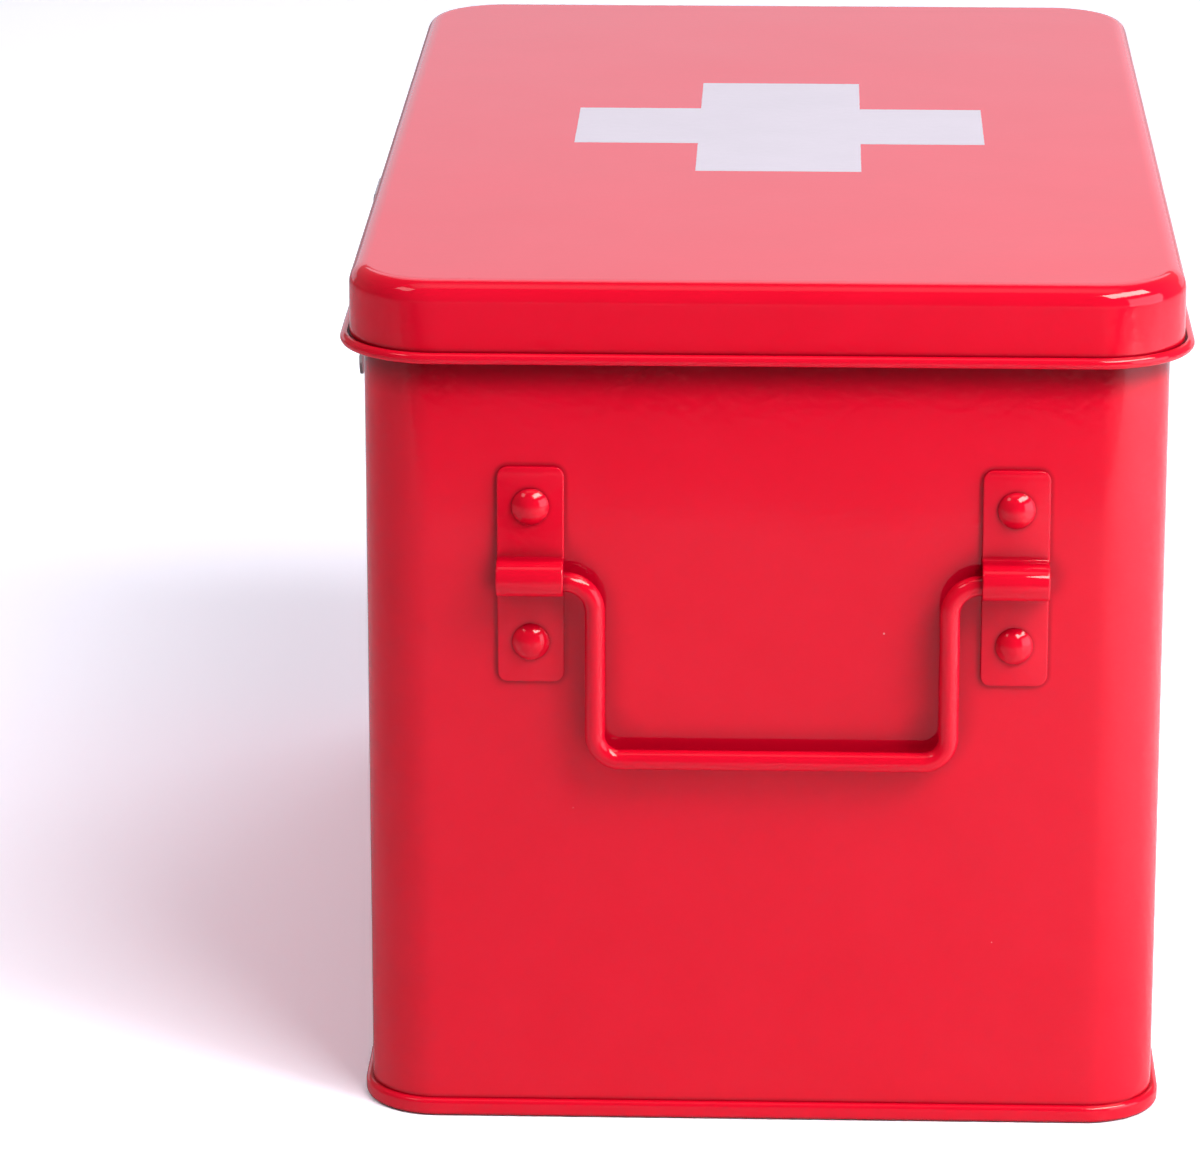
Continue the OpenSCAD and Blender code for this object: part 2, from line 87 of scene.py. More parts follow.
def rect_stations(l, w, r, n=18, mx=40, my=24):
    """Round a rectangle with round corners: (centre x, centre y, normal x, normal y), anticlockwise from +X."""
    out = []
    cs = [(l / 2 - r, w / 2 - r), (-(l / 2 - r), w / 2 - r), (-(l / 2 - r), -(w / 2 - r)), (l / 2 - r, -(w / 2 - r))]
    for k in range(4):
        (cx, cy), (dx, dy) = cs[k], cs[(k + 1) % 4]
        for i in range(n + 1):
            a = math.radians(90 * k + 90 * i / n)
            out.append((cx, cy, math.cos(a), math.sin(a)))
        a = math.radians(90 * (k + 1))
        m = mx if k % 2 == 0 else my
        for i in range(1, m):
            t = i / m
            out.append((cx + (dx - cx) * t, cy + (dy - cy) * t, math.cos(a), math.sin(a)))
    return out


def sweep(bm, stations, profile, closed):
    """Carries a profile of (distance out, height) round the stations. Returns the vertex rings, one per station."""
    rings = [[bm.verts.new((cx + nx * o, cy + ny * o, z)) for o, z in profile] for cx, cy, nx, ny in stations]
    m = len(profile)
    for i in range(len(rings)):
        a, b = rings[i], rings[(i + 1) % len(rings)]
        for j in range(m if closed else m - 1):
            k = (j + 1) % m
            quad = [a[j], b[j], b[k], a[k]]
            if all((quad[q].co - quad[(q + 1) % 4].co).length > 1e-6 for q in range(4)):
                bm.faces.new(quad)
            else:
                tri = []
                for v in quad:
                    if not any((v.co - u.co).length <= 1e-6 for u in tri):
                        tri.append(v)
                if len(tri) == 3:
                    bm.faces.new(tri)
    return rings


def grid_fill(bm, hx, hy, z, mx, my):
    """Flat grid from -hx to hx and -hy to hy, whose edge points meet a sweep's inner ends."""
    rows = [[bm.verts.new((-hx + 2 * hx * i / mx, -hy + 2 * hy * j / my, z)) for i in range(mx + 1)] for j in range(my + 1)]
    for j in range(my):
        for i in range(mx):
            bm.faces.new([rows[j][i], rows[j][i + 1], rows[j + 1][i + 1], rows[j + 1][i]])


def lathe(bm, profile, place, n=48):
    """Turns a closed profile of (radius, height) about Z. The first and last points lie on the axis."""
    rings = []
    for r, z in profile:
        if r < 1e-6:
            rings.append([bm.verts.new(place @ Vector((0, 0, z)))])
        else:
            rings.append([bm.verts.new(place @ Vector((r * math.cos(2 * math.pi * i / n), r * math.sin(2 * math.pi * i / n), z))) for i in range(n)])
    for a, b in zip(rings, rings[1:]):
        for i in range(n):
            k = (i + 1) % n
            if len(a) == 1 and len(b) == 1:
                continue
            if len(a) == 1:
                bm.faces.new([a[0], b[i], b[k]])
            elif len(b) == 1:
                bm.faces.new([a[i], a[k], b[0]])
            else:
                bm.faces.new([a[i], a[k], b[k], b[i]])


def tube(bm, path, r, n=32, round_end=0.5):
    """Round wire along a path of points, with softly rounded ends."""
    pts = [Vector(p) for p in path]
    tangents = []
    for i in range(len(pts)):
        t = pts[min(i + 1, len(pts) - 1)] - pts[max(i - 1, 0)]
        tangents.append(t.normalized())
    side = Vector((1, 0, 0))
    rings = []

    def ring(p, t, rr):
        u = (side - t * side.dot(t)).normalized()
        v = t.cross(u)
        rings.append([bm.verts.new(p + (u * math.cos(2 * math.pi * i / n) + v * math.sin(2 * math.pi * i / n)) * rr) for i in range(n)])

    k = 4
    for i in range(k + 1):
        a = math.pi / 2 * i / k
        ring(pts[0] + tangents[0] * round_end * (1 - math.cos(a)), tangents[0], r - round_end + round_end * math.sin(a))
    for p, t in list(zip(pts, tangents))[1:-1]:
        ring(p, t, r)
    for i in range(k, -1, -1):
        a = math.pi / 2 * i / k
        ring(pts[-1] - tangents[-1] * round_end * (1 - math.cos(a)), tangents[-1], r - round_end + round_end * math.sin(a))
    for a, b in zip(rings, rings[1:]):
        for i in range(n):
            j = (i + 1) % n
            bm.faces.new([a[i], a[j], b[j], b[i]])
    bm.faces.new(rings[0])
    bm.faces.new(rings[-1])


# ---------------------------------------------------------------- visible pieces

def make_body_shell():
    bm = bmesh.new()
    hz = 202.6
    a0 = math.degrees(math.atan2(-0.7746, -0.2))
    r = BODY_R
    profile = [(r, z) for z in [1.05, 2, 3, 4.2, 6, 10] + steps(16, 196, 30) + [199, 201.5]]
    profile += arc(r + 0.2, hz, 0.8, a0, 180, 18)
    profile += [(r - SHEET, z) for z in [202, 199, 196] + steps(190, 12, 20) + [6, 1.05]]
    sweep(bm, rect_stations(BODY_L, BODY_W, BODY_R, n=20), profile, True)
    # lock seam down the back wall, a low rounded band
    y0 = WALL_Y - 0.15
    prof = [(-3.3, y0)] + [(-3.3 + 0.3, y0 + 0.0)] + arc(-2.6, WALL_Y - 0.1, 0.4, 150, 90, 4) + arc(2.6, WALL_Y - 0.1, 0.4, 90, 30, 4) + [(3.0, y0), (3.3, y0)]
    zs = [5.2] + steps(8, 198, 20) + [201.0]
    rows = [[bm.verts.new((x, y, z)) for x, y in prof] for z in zs]
    for a, b in zip(rows, rows[1:]):
        for i in range(len(prof) - 1):
            bm.faces.new([a[i], a[i + 1], b[i + 1], b[i]])
        bm.faces.new([a[-1], a[0], b[0], b[-1]])
    bm.faces.new(rows[0])
    bm.faces.new(rows[-1])
    return new_object("body_shell_v", bm)


def make_base():
    bm = bmesh.new()
    ro = BODY_R + 1.7
    mx, my = 40, 24
    profile = [(0, 2.6), (3, 2.6)] + arc(5.5, 3.2, 0.6, -90, 0, 5) + [(6.1, 3.3)]
    profile += arc(6.6, 3.1, 0.5, 180, 90, 5)[1:] + [(10, 3.6), (ro - 3.8, 3.6)]
    profile += arc(ro - 3.53, 3.0, 0.6, 90, 0, 4)[1:] + [(ro - 2.93, 1.0)]
    profile += arc(ro - 2.63, 0.3, 0.3, 180, 270, 4)
    profile += [(ro - 1.9, 0)]
    profile += arc(ro - 1.2, 1.2, 1.2, -90, 0, 10)
    profile += arc(ro - 1.2, 3.0, 1.2, 0, 90, 10)
    profile += [(ro - 1.67, 4.2), (ro - 1.67, 1.0), (ro - 2.33, 1.0), (ro - 2.33, 4.0), (ro - 2.5, 4.2), (10, 4.2), (6.4, 4.2)]
    profile += arc(6.1, 3.6, 0.6, 90, 180, 4)[1:] + [(5.5, 3.4), (5.2, 3.2), (3, 3.2), (0, 3.2)]
    sweep(bm, rect_stations(BODY_L, BODY_W, BODY_R, n=20, mx=mx, my=my), profile, False)
    for z in (2.6, 3.2):
        grid_fill(bm, BODY_L / 2 - BODY_R, BODY_W / 2 - BODY_R, z, mx, my)
    return new_object("base_panel_v", bm)


def make_lid():
    bm = bmesh.new()
    mx, my = 48, 30
    cx = LID_R + 0.95
    az = TOP_Z - EDGE_R
    profile = [(x, TOP_Z) for x in (0, 5, 10, 14, 16)]
    profile += arc(LID_R - EDGE_R, az, EDGE_R, 90, 0, 16)
    profile += [(LID_R, z) for z in (200, 198, 195, 192, 190, 188.9, 188.3, 187.95)]
    profile += arc(cx, BEAD_Z, 0.7, 162, 360 + 115, 20)
    profile += [(cx - 0.31, 188.2), (cx - 0.46, 188.6)] + arc(cx, BEAD_Z, BEAD_R, 106, -165, 32)
    profile += [(LID_R - SHEET, z) for z in (187.65, 189, 192, 195, 198)]
    profile += arc(LID_R - EDGE_R, az, EDGE_R - SHEET, 0, 90, 12)
    profile += [(x, TOP_Z - SHEET) for x in (16, 12, 6, 0)]
    sweep(bm, rect_stations(LID_L, LID_W, LID_R, n=24, mx=mx, my=my), profile, False)
    for z in (TOP_Z, TOP_Z - SHEET):
        grid_fill(bm, LID_L / 2 - LID_R, LID_W / 2 - LID_R, z, mx, my)
    return new_object("lid_shell_v", bm)


def make_strap(name, sx, sy, lean=0.0):
    """Strap with a pressed loop. sx is the end wall (1 near, -1 far) and sy its side of the handle. lean tips the upper flat out towards the loop."""
    bm = bmesh.new()
    h = STRAP_T / 2
    br = 0.7 + h
    rc = LOOP_R - h
    z1 = LOOP_Z - rc - br
    path = []
    ends = [0, 0.02, 0.07, 0.15, 0.25, 0.4, 0.6, 0.9, 1.25, 1.6, 2.0, 2.5]
    path += [(h, STRAP_LOW + d) for d in ends] + [(h, z) for z in steps(STRAP_LOW + 4, z1 - 0.6, 5)]
    path += arc(h + br, z1, br, 180, 90, 8)
    path += [(2.4, LOOP_Z - rc), (3.4, LOOP_Z - rc)]
    path += arc(LOOP_OUT, LOOP_Z, rc, -90, 90, 28)
    path += [(3.4, LOOP_Z + rc), (2.4, LOOP_Z + rc)]
    path += arc(h + br, 2 * LOOP_Z - z1, br, -90, -180, 8)
    path += [(h, z) for z in steps(2 * LOOP_Z - z1 + 0.6, STRAP_HIGH - 4, 5)] + [(h, STRAP_HIGH - d) for d in reversed(ends)]
    zf = 2 * LOOP_Z - z1
    reach = lean * (STRAP_HIGH - zf)
    path = [(x + (lean * (STRAP_HIGH - z) if z >= zf else reach * max(0.0, h + br - x) / br if z > LOOP_Z + rc - 1e-6 else 0.0), z) for x, z in path]
    e = 0.4
    hw = STRAP_W / 2
    rings = []
    for i, (x, z) in enumerate(path):
        ax, az_ = path[max(i - 1, 0)]
        bx, bz = path[min(i + 1, len(path) - 1)]
        tx, tz = bx - ax, bz - az_
        tl = math.hypot(tx, tz)
        nx, nz = tz / tl, -tx / tl            # points away from the wall
        d = min(z - STRAP_LOW, STRAP_HIGH - z)
        d = min(max(d, 0.0), 10.0)
        w = hw if d >= STRAP_R else hw - STRAP_R + math.sqrt(max(0.0, STRAP_R ** 2 - (STRAP_R - d) ** 2))
        inset = 0.0 if d >= e else e - math.sqrt(max(0.0, e * e - (e - d) ** 2))
        w -= inset
        top = h - inset
        ring = []
        for y, n, a0 in ((w, top, 0), (-w, top, 90), (-w, -h, 180), (w, -h, 270)):
            ee = min(e, w, 0.5 * (top + h))
            oy = y - math.copysign(ee, y)
            er = ee if a0 in (0, 90) else 0.26
            on = n - ee if n > 0 or a0 in (0, 90) else n + er
            oy = y - math.copysign(er, y)
            for q in range(5):
                a = math.radians(a0 + 90 * q / 4)
                yy = oy + er * math.cos(a)
                nn = on + er * math.sin(a)
                ring.append((yy, nn))
        rings.append([bm.verts.new((sx * (WALL_X + x + nx * nn), HANDLE_Y + sy * STRAP_SPACING / 2 + yy, z + nz * nn)) for yy, nn in ring])
    for a, b in zip(rings, rings[1:]):
        m = len(a)
        for i in range(m):
            bm.faces.new([a[i], a[(i + 1) % m], b[(i + 1) % m], b[i]])
    bm.faces.new(rings[0])
    bm.faces.new(rings[-1])
    return new_object(name, bm, 50)


def make_rivets(name, sx):
    bm = bmesh.new()
    a, hh = 4.6, 2.7
    big = (a * a + hh * hh) / (2 * hh)
    cap = []
    low = 0.42
    a_low = math.degrees(math.asin((low - (hh - big)) / big))
    for p in arc(0, hh - big, big, 90, a_low, 18):
        cap.append(p)
    xr, zr = cap[-1]
    cap += [(xr + 0.06, 0.26), (xr + 0.02, 0.12), (xr - 0.12, 0.02), (xr - 0.5, -0.01)]
    profile = cap + [(2.0, -0.01), (2.0, -1.66)] + [(2.9, -1.66)] + arc(2.9, -1.96, 0.3, 90, 0, 4) + arc(2.5, -2.15, 0.7, 0, -90, 6) + [(0, -2.85)]
    for j in (-1, 1):
        for k in (-1, 1):
            lift = LEAN * (STRAP_HIGH - LOOP_Z - RIVET_SPACING / 2) if (sx, j, k) == (1, -1, 1) else 0.0
            place = Matrix.Translation((sx * (WALL_X + STRAP_T + lift), HANDLE_Y + j * STRAP_SPACING / 2, LOOP_Z + k * RIVET_SPACING / 2)) @ Matrix.Rotation(math.radians(90 * sx), 4, "Y")
            lathe(bm, profile, place)
    return new_object(name, bm, 55)


def make_handle(name, sx):
    bm = bmesh.new()
    x = sx * (WALL_X + LOOP_OUT)
    end = STRAP_SPACING / 2 + STRAP_W / 2 - 0.2
    half = [(end, BARREL_Z), (end - 2, BARREL_Z), (52, BARREL_Z)]
    half += arc(ARM + BEND_TOP, BARREL_Z - BEND_TOP, BEND_TOP, 90, 180, 14)
    half += [(ARM, z) for z in steps(BARREL_Z - BEND_TOP - 4, GRIP_Z + BEND_GRIP + 4, 5)]
    half += arc(ARM - BEND_GRIP, GRIP_Z + BEND_GRIP, BEND_GRIP, 0, -90, 14)
    half += [(y, GRIP_Z) for y in (30, 24, 18, 12, 6)]
    pts = half + [(0, GRIP_Z)] + [(-y, z) for y, z in reversed(half)]
    tube(bm, [(x, HANDLE_Y + y, z) for y, z in pts], WIRE_R)
    return new_object(name, bm, 50)


# ---------------------------------------------------------------- materials

def links_of(mat):
    mat.use_nodes = True
    nt = mat.node_tree
    nt.nodes.clear()
    out = nt.nodes.new("ShaderNodeOutputMaterial")
    bsdf = nt.nodes.new("ShaderNodeBsdfPrincipled")
    nt.links.new(bsdf.outputs["BSDF"], out.inputs["Surface"])
    return nt, bsdf


def noise(nt, coord, scale, detail=2.0, rough=0.5):
    n = nt.nodes.new("ShaderNodeTexNoise")
    n.inputs["Scale"].default_value = scale
    n.inputs["Detail"].default_value = detail
    n.inputs["Roughness"].default_value = rough
    nt.links.new(coord, n.inputs["Vector"])
    return n.outputs["Fac"]


def math_node(nt, op, a, b=None, c=None, clamp=False):
    n = nt.nodes.new("ShaderNodeMath")
    n.operation = op
    n.use_clamp = clamp
    for i, v in enumerate((a, b, c)):
        if v is None:
            continue
        if isinstance(v, (int, float)):
            n.inputs[i].default_value = v
        else:
            nt.links.new(v, n.inputs[i])
    return n.outputs[0]


def mix_color(nt, fac, a, b):
    n = nt.nodes.new("ShaderNodeMix")
    n.data_type = "RGBA"
    for i, v in ((0, fac), (6, a), (7, b)):
        if isinstance(v, (int, float)):
            n.inputs[i].default_value = v
        elif isinstance(v, tuple):
            n.inputs[i].default_value = v
        else:
            nt.links.new(v, n.inputs[i])
    return n.outputs[2]


def bump(nt, height, distance, strength=1.0, normal=None):
    n = nt.nodes.new("ShaderNodeBump")
    n.inputs["Distance"].default_value = distance
    n.inputs["Strength"].default_value = strength
    nt.links.new(height, n.inputs["Height"])
    if normal is not None:
        nt.links.new(normal, n.inputs["Normal"])
    return n.outputs["Normal"]


RED_DEEP = (0.725, 0.0022, 0.0192, 1.0)
RED_LIGHT = (0.765, 0.0032, 0.0236, 1.0)


def make_enamel(name, cross=False):
    mat = bpy.data.materials.new(name)
    nt, bsdf = links_of(mat)
    tc = nt.nodes.new("ShaderNodeTexCoord").outputs["Object"]
    # baked enamel: cloudy tone, orange peel, slow waviness of the sheet and a few specks of dust
    cloud = noise(nt, tc, 38.0, 4.0, 0.55)
    tone = mix_color(nt, math_node(nt, "MULTIPLY_ADD", cloud, 1.6, -0.3, clamp=True), RED_DEEP, RED_LIGHT)
    vor = nt.nodes.new("ShaderNodeTexVoronoi")
    vor.inputs["Scale"].default_value = 62.0
    nt.links.new(tc, vor.inputs["Vector"])
    sep = nt.nodes.new("ShaderNodeSeparateColor")
    nt.links.new(vor.outputs["Color"], sep.inputs[0])
    near = math_node(nt, "LESS_THAN", vor.outputs["Distance"], 0.014)
    some = math_node(nt, "GREATER_THAN", sep.outputs[0], 0.93)
    speck = math_node(nt, "MULTIPLY", near, some)
    color = mix_color(nt, math_node(nt, "MULTIPLY", speck, 0.55), tone, (0.9, 0.62, 0.62, 1.0))
    rough = math_node(nt, "MULTIPLY_ADD", noise(nt, tc, 120.0, 3.0, 0.6), 0.04, 0.022)
    peel = noise(nt, tc, 420.0, 2.0, 0.5)
    wave = noise(nt, tc, 24.0, 1.0, 0.4)
    height = math_node(nt, "MULTIPLY_ADD", wave, 6.0, peel)
    height = math_node(nt, "MULTIPLY_ADD", speck, 1.2, height)
    if cross:
        xyz = nt.nodes.new("ShaderNodeSeparateXYZ")
        nt.links.new(tc, xyz.inputs[0])
        wob = math_node(nt, "MULTIPLY_ADD", noise(nt, tc, 900.0, 2.0, 0.6), 0.00022, -0.00011)
        ax = math_node(nt, "ADD", math_node(nt, "ABSOLUTE", math_node(nt, "ADD", xyz.outputs[0], CROSS_X)), wob)
        ay = math_node(nt, "ADD", math_node(nt, "ABSOLUTE", math_node(nt, "ADD", xyz.outputs[1], -CROSS_Y)), wob)

        def inside(v, half):
            return math_node(nt, "MULTIPLY_ADD", v, -1 / 0.00012, half / 0.00012 + 0.5, clamp=True)

        bar1 = math_node(nt, "MULTIPLY", inside(ax, CROSS_HALF), inside(ay, CROSS_ARM))
        bar2 = math_node(nt, "MULTIPLY", inside(ax, CROSS_ARM), inside(ay, CROSS_HALF))
        top = math_node(nt, "GREATER_THAN", xyz.outputs[2], 0.2047)
        print_mask = math_node(nt, "MULTIPLY", math_node(nt, "MAXIMUM", bar1, bar2), top)
        white = mix_color(nt, noise(nt, tc, 55.0, 3.0, 0.5), (0.60, 0.565, 0.595, 1.0), (0.655, 0.62, 0.65, 1.0))
        color = mix_color(nt, print_mask, color, white)
        height = math_node(nt, "MULTIPLY_ADD", print_mask, 1.4, height)
    # painted shade: the enamel is darkened in the creases, where contact shadow falls
    crease_shade_ao = nt.nodes.new("ShaderNodeAmbientOcclusion")
    crease_shade_ao.samples = 12
    crease_shade_ao.inputs["Distance"].default_value = 0.0012
    crease_shade_fac = math_node(nt, "MULTIPLY_ADD", crease_shade_ao.outputs["AO"], 1.25, -0.25, clamp=True)
    color = mix_color(nt, crease_shade_fac, (0.20, 0.0006, 0.0045, 1.0), color)
    if not cross:
        # the deeper tone under the bead, beside the loops and behind the wires, where little light comes
        shade = nt.nodes.new("ShaderNodeAmbientOcclusion")
        shade.samples = 14
        shade.inputs["Distance"].default_value = 0.010
        high = nt.nodes.new("ShaderNodeSeparateXYZ")
        nt.links.new(tc, high.inputs[0])
        under = math_node(nt, "MULTIPLY_ADD", high.outputs[2], 120.0, -19.8, clamp=True)
        near_parts = math_node(nt, "MULTIPLY_ADD", shade.outputs["AO"], 5.6, -3.85, clamp=True)
        near_parts = math_node(nt, "MAXIMUM", near_parts, math_node(nt, "MULTIPLY_ADD", high.outputs[2], -100.0, 3.0, clamp=True))
        near_bead = math_node(nt, "MULTIPLY_ADD", shade.outputs["AO"], 7.6, -6.35, clamp=True)
        color = mix_color(nt, math_node(nt, "MAXIMUM", near_parts, under), (0.50, 0.0007, 0.0150, 1.0), color)
        color = mix_color(nt, math_node(nt, "MAXIMUM", near_bead, math_node(nt, "SUBTRACT", 1.0, under)), (0.25, 0.0003, 0.0065, 1.0), color)
    nt.links.new(color, bsdf.inputs["Base Color"])
    nt.links.new(rough, bsdf.inputs["Roughness"])
    bsdf.inputs["IOR"].default_value = ENAMEL_IOR
    nt.links.new(bump(nt, height, 0.000024, 1.0), bsdf.inputs["Normal"])
    return mat


def make_nickel(name, tint=(0.66, 0.65, 0.62), rough=0.2):
    mat = bpy.data.materials.new(name)
    nt, bsdf = links_of(mat)
    tc = nt.nodes.new("ShaderNodeTexCoord").outputs["Object"]
    cloud = noise(nt, tc, 180.0, 4.0, 0.6)
    dark = tuple(0.72 * c for c in tint) + (1.0,)
    color = mix_color(nt, cloud, dark, tint + (1.0,))
    nt.links.new(color, bsdf.inputs["Base Color"])
    bsdf.inputs["Metallic"].default_value = 1.0
    stretch = nt.nodes.new("ShaderNodeMapping")
    stretch.inputs["Scale"].default_value = (900.0, 900.0, 60.0)
    nt.links.new(tc, stretch.inputs["Vector"])
    brush = nt.nodes.new("ShaderNodeTexNoise")
    brush.inputs["Scale"].default_value = 1.0
    brush.inputs["Detail"].default_value = 3.0
    nt.links.new(stretch.outputs[0], brush.inputs["Vector"])
    r = math_node(nt, "MULTIPLY_ADD", brush.outputs["Fac"], 0.16, rough - 0.06)
    nt.links.new(r, bsdf.inputs["Roughness"])
    nt.links.new(bump(nt, brush.outputs["Fac"], 0.000012, 0.6), bsdf.inputs["Normal"])
    return mat


ENAMEL_IOR = 1.40
CROSS_X, CROSS_Y, CROSS_HALF, CROSS_ARM = 0.0044, 0.0019, 0.0516, 0.02045
enamel = make_enamel("red_enamel_m")
enamel_lid = make_enamel("red_enamel_lid_m", cross=True)
nickel = make_nickel("nickel_plate_m", (0.52, 0.52, 0.51))


def dress(obj, mat, body=None, replaces=()):
    obj.data.materials.clear()
    obj.data.materials.append(mat)
    if body:
        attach(obj, body)
    if replaces:
        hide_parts(*replaces)
    return obj


dress(make_body_shell(), enamel, "box", ["body_shell"])
dress(make_base(), enamel, "box", ["base_panel"])
dress(make_lid(), enamel_lid, "lid", ["lid_shell"])
for end, sx in (("near", 1), ("far", -1)):
    for side, sy in (("front", -1), ("back", 1)):
        dress(make_strap(f"{end}_strap_{side}_v", sx, sy, LEAN if (sx, sy) == (1, -1) else 0.0), enamel, "box", [f"{end}_strap_{side}"])
    dress(make_rivets(f"{end}_strap_rivets_v", sx), enamel, "box", [f"{end}_strap_rivets"])
    dress(make_handle(f"{end}_handle_v", sx), enamel, f"{end}_handle", [f"{end}_handle"])

replaced = {"body_shell", "base_panel", "lid_shell", "near_strap_rivets", "far_strap_rivets", "near_handle", "far_handle"}
replaced |= {f"{e}_strap_{s}" for e in ("near", "far") for s in ("front", "back")}
for name, obj in nodes.items():
    if name in replaced:
        continue
    mat = enamel if name == "lid_rim_wire" else nickel
    for s in obj.material_slots:
        s.material = mat
    if not obj.material_slots:
        obj.data.materials.append(mat)
    if name != "lid_rim_wire":
        bev = obj.modifiers.new("edge", "BEVEL")
        bev.width = 0.00016
        bev.segments = 2
        bev.limit_method = "ANGLE"
        bev.angle_limit = math.radians(35)

# ---------------------------------------------------------------- stage, light and camera

def studio():
    bm = bmesh.new()
    n = 24
    size = 6000.0
    rows = [[bm.verts.new((-size + 2 * size * i / n, -size + 2 * size * j / n, 0.0)) for i in range(n + 1)] for j in range(n + 1)]
    for j in range(n):
        for i in range(n):
            bm.faces.new([rows[j][i], rows[j][i + 1], rows[j + 1][i + 1], rows[j + 1][i]])
    floor = new_object("studio_floor", bm)
    mat = bpy.data.materials.new("studio_floor_m")
    nt, bsdf = links_of(mat)
    tc = nt.nodes.new("ShaderNodeTexCoord").outputs["Object"]
    color = mix_color(nt, noise(nt, tc, 30.0, 3.0, 0.5), (0.865, 0.862, 0.865, 1.0), (0.885, 0.882, 0.885, 1.0))
    # painted reflection: for glossy rays only, the floor is darkened along X by a ramp, with a darker band a little way
    # in front of the tin, and lightened towards +Y, so the enamel mirrors a band that camera and diffuse light never
    # see
    px = nt.nodes.new("ShaderNodeSeparateXYZ")
    nt.links.new(tc, px.inputs[0])
    ramp = nt.nodes.new("ShaderNodeValToRGB")
    nt.links.new(math_node(nt, "MULTIPLY_ADD", px.outputs[0], 1.0, -0.5, clamp=True), ramp.inputs[0])
    ramp.color_ramp.elements[0].position = 0.0
    ramp.color_ramp.elements[0].color = (0.64, 0.64, 0.64, 1.0)
    ramp.color_ramp.elements[1].position = 0.62
    ramp.color_ramp.elements[1].color = (0.60, 0.60, 0.60, 1.0)
    for at, v in ((0.164, 0.62), (0.188, 0.38), (0.24, 0.30), (0.30, 0.26), (0.326, 0.04), (0.36, 0.04), (0.378, 0.24), (0.46, 0.27)):
        el = ramp.color_ramp.elements.new(at)
        el.color = (v, v, v, 1.0)
    ray = nt.nodes.new("ShaderNodeLightPath")
    side = math_node(nt, "MULTIPLY_ADD", math_node(nt, "MULTIPLY_ADD", px.outputs[1], 4.5, -0.20, clamp=True), 0.75, 1.0)
    scaled = nt.nodes.new("ShaderNodeVectorMath")
    scaled.operation = "SCALE"
    nt.links.new(ramp.outputs[0], scaled.inputs[0])
    nt.links.new(side, scaled.inputs["Scale"])
    dim = mix_color(nt, ray.outputs["Is Glossy Ray"], (1.0, 1.0, 1.0, 1.0), scaled.outputs[0])
    mul = nt.nodes.new("ShaderNodeMix")
    mul.data_type = "RGBA"
    mul.blend_type = "MULTIPLY"
    mul.inputs[0].default_value = 1.0
    nt.links.new(color, mul.inputs[6])
    nt.links.new(dim, mul.inputs[7])
    color = mul.outputs[2]
    nt.links.new(color, bsdf.inputs["Base Color"])
    bsdf.inputs["Roughness"].default_value = 0.85
    bsdf.inputs["Specular IOR Level"].default_value = 0.15
    # over-exposed to clean white in the picture itself, as a product shot is
    bright = nt.nodes.new("ShaderNodeBsdfDiffuse")
    bright.inputs["Color"].default_value = (1.40, 1.44, 1.45, 1.0)
    mix = nt.nodes.new("ShaderNodeMixShader")
    nt.links.new(ray.outputs["Is Camera Ray"], mix.inputs[0])
    nt.links.new(bsdf.outputs[0], mix.inputs[1])
    nt.links.new(bright.outputs[0], mix.inputs[2])
    nt.links.new(mix.outputs[0], [n for n in nt.nodes if n.type == "OUTPUT_MATERIAL"][0].inputs["Surface"])
    floor.data.materials.append(mat)

    world = bpy.data.worlds.new("studio_world")
    scene.world = world
    world.use_nodes = True
    nt = world.node_tree
    nt.nodes.clear()
    out = nt.nodes.new("ShaderNodeOutputWorld")
    tc = nt.nodes.new("ShaderNodeTexCoord").outputs["Generated"]
    xyz = nt.nodes.new("ShaderNodeSeparateXYZ")
    nt.links.new(tc, xyz.inputs[0])
    # the white sweep stands behind the tin (-X) and glows up to about 45 degrees; the room in front is dimmer
    back = math_node(nt, "MULTIPLY_ADD", xyz.outputs[0], -1.6, 0.35, clamp=True)
    lowish = math_node(nt, "MULTIPLY_ADD", xyz.outputs[2], -2.2, 2.0, clamp=True)
    glow = math_node(nt, "MULTIPLY", back, lowish)
    strength = math_node(nt, "MULTIPLY_ADD", glow, WORLD_BACK - WORLD_FRONT, WORLD_FRONT)
    bg = nt.nodes.new("ShaderNodeBackground")
    bg.inputs["Color"].default_value = (1.0, 0.985, 0.995, 1.0)
    nt.links.new(strength, bg.inputs["Strength"])
    plain = nt.nodes.new("ShaderNodeBackground")
    plain.inputs["Color"].default_value = (1.0, 1.0, 1.0, 1.0)
    plain.inputs["Strength"].default_value = 1.0
    path = nt.nodes.new("ShaderNodeLightPath")
    mix = nt.nodes.new("ShaderNodeMixShader")
    nt.links.new(path.outputs["Is Camera Ray"], mix.inputs[0])
    nt.links.new(bg.outputs[0], mix.inputs[1])
    nt.links.new(plain.outputs[0], mix.inputs[2])
    nt.links.new(mix.outputs[0], out.inputs["Surface"])


def area(name, pos, target, w, h, power, color=(1, 1, 1)):
    data = bpy.data.lights.new(name, "AREA")
    data.shape = "RECTANGLE"
    data.size = w
    data.size_y = h
    data.energy = power
    data.color = color
    obj = bpy.data.objects.new(name, data)
    scene.collection.objects.link(obj)
    obj.location = pos
    obj.rotation_euler = (Vector(target) - Vector(pos)).to_track_quat("-Z", "Y").to_euler()
    return obj


WORLD_BACK, WORLD_FRONT = 0.26, 0.105
studio()


def softbox(name, azimuth, elevation, distance, w, h, glow, color, at=(0.0, 0.0, 0.1)):
    """A soft light facing the tin. glow is how bright its face is."""
    a, e = math.radians(azimuth), math.radians(elevation)
    pos = (at[0] + distance * math.cos(e) * math.cos(a), at[1] + distance * math.cos(e) * math.sin(a), at[2] + distance * math.sin(e))
    obj = area(name, pos, at, w, h, glow * math.pi * w * h, color)
    obj.visible_camera = False
    return obj


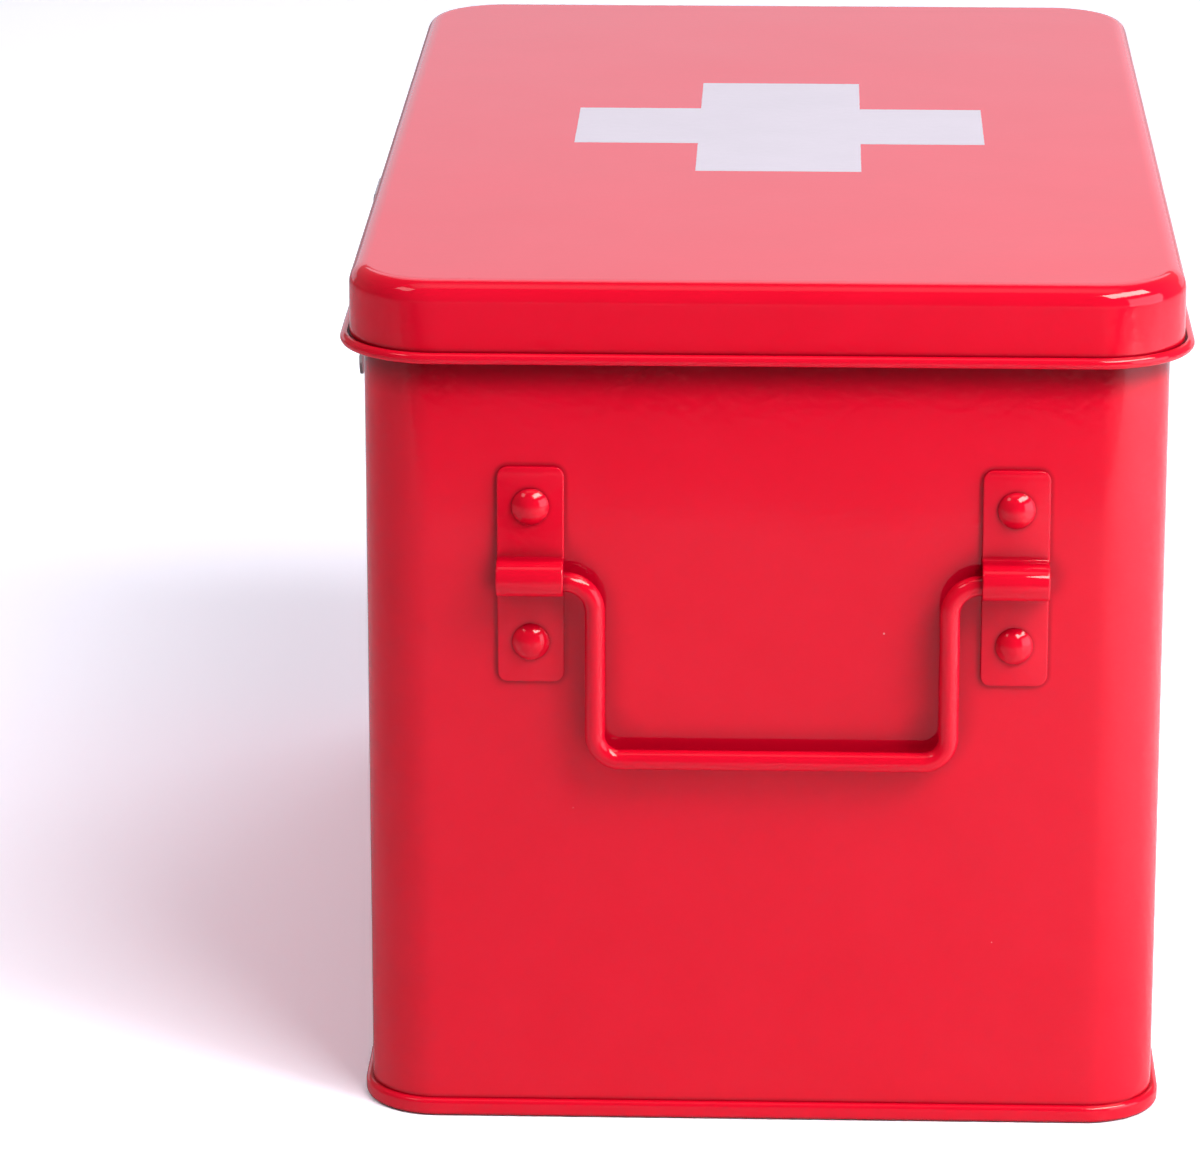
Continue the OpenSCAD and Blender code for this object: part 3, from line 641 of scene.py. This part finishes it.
WARM, COOL = (1.0, 0.955, 1.03), (1.0, 0.955, 1.13)
softbox("key_right", 58, 40, 1.3, 0.66, 0.36, 11.2, WARM).visible_glossy = False
softbox("key_soft", 35, 51, 1.9, 0.8, 0.8, 8.2, WARM).visible_glossy = False
softbox("left_small", -85, 52, 1.7, 0.28, 0.28, 10.0, WARM).visible_glossy = False
softbox("left_soft", -76, 48, 1.9, 0.7, 0.7, 3.3, COOL).visible_glossy = False
# the faces of the two softboxes, as the enamel mirrors them
softbox("key_sheen", 53, 53, 1.9, 1.75, 0.72, 18.0, (1.0, 0.99, 0.89), at=(0.15, 0.08, 0.2)).visible_diffuse = False
softbox("overhead_sheen", 0, 80, 2.0, 1.6, 0.9, 0.65, (1.0, 0.97, 0.95)).visible_diffuse = False
softbox("left_sheen", -57, 50, 1.9, 0.58, 0.50, 4.0, (1.0, 0.94, 0.90), at=(0.15, -0.08, 0.2)).visible_diffuse = False
softbox("back_right", 150, 45, 2.0, 0.9, 0.9, 1.7, COOL).visible_glossy = False
softbox("back_middle", 180, 40, 2.0, 1.2, 1.2, 1.1, COOL)
softbox("overhead", 0, 88, 2.0, 1.1, 1.1, 0.3, COOL)
for name, pos, at, w, h, glow in (("card_right", (0.45, 0.75, 0.3), (0.1, 0, 0.2), 0.7, 0.5, 3.0),
                                  ("backdrop", (-3.0, 0.0, 0.55), (0, 0, 0.55), 6.0, 1.1, 0.63)):
    area(name, pos, at, w, h, glow * math.pi * w * h, COOL).visible_camera = False

# Camera fitted to the photograph, in the frame's axes (millimetres and radians)
F_PX, PX, PY, PZ = 5918.5929, 1474.5578, 10.1149, 531.9705
YAW, PITCH, ROLL = 0.03665527, 0.29529417, -0.00119711
fwd = Vector((-math.cos(YAW) * math.cos(PITCH), -math.sin(YAW) * math.cos(PITCH), -math.sin(PITCH)))
right = fwd.cross(Vector((0, 0, 1))).normalized()
up = right.cross(fwd)
r2 = math.cos(ROLL) * right + math.sin(ROLL) * up
u2 = -math.sin(ROLL) * right + math.cos(ROLL) * up
cam_data = bpy.data.cameras.new("camera")
cam_data.sensor_width = 36.0
cam_data.sensor_fit = "HORIZONTAL"
cam_data.lens = F_PX / 1200.0 * 36.0
cam_data.clip_start = 0.01
cam_data.clip_end = 60.0
cam = bpy.data.objects.new("camera", cam_data)
scene.collection.objects.link(cam)
m = Matrix.Identity(4)
for col, v in enumerate((r2, u2, -fwd)):
    for row in range(3):
        m[row][col] = v[row]
m.translation = Vector((PX, PY, PZ)) * MM
cam.matrix_world = m
scene.camera = cam

scene.view_settings.view_transform = "Standard"
scene.view_settings.look = "None"
scene.view_settings.exposure = 0.0
scene.view_settings.gamma = 1.0
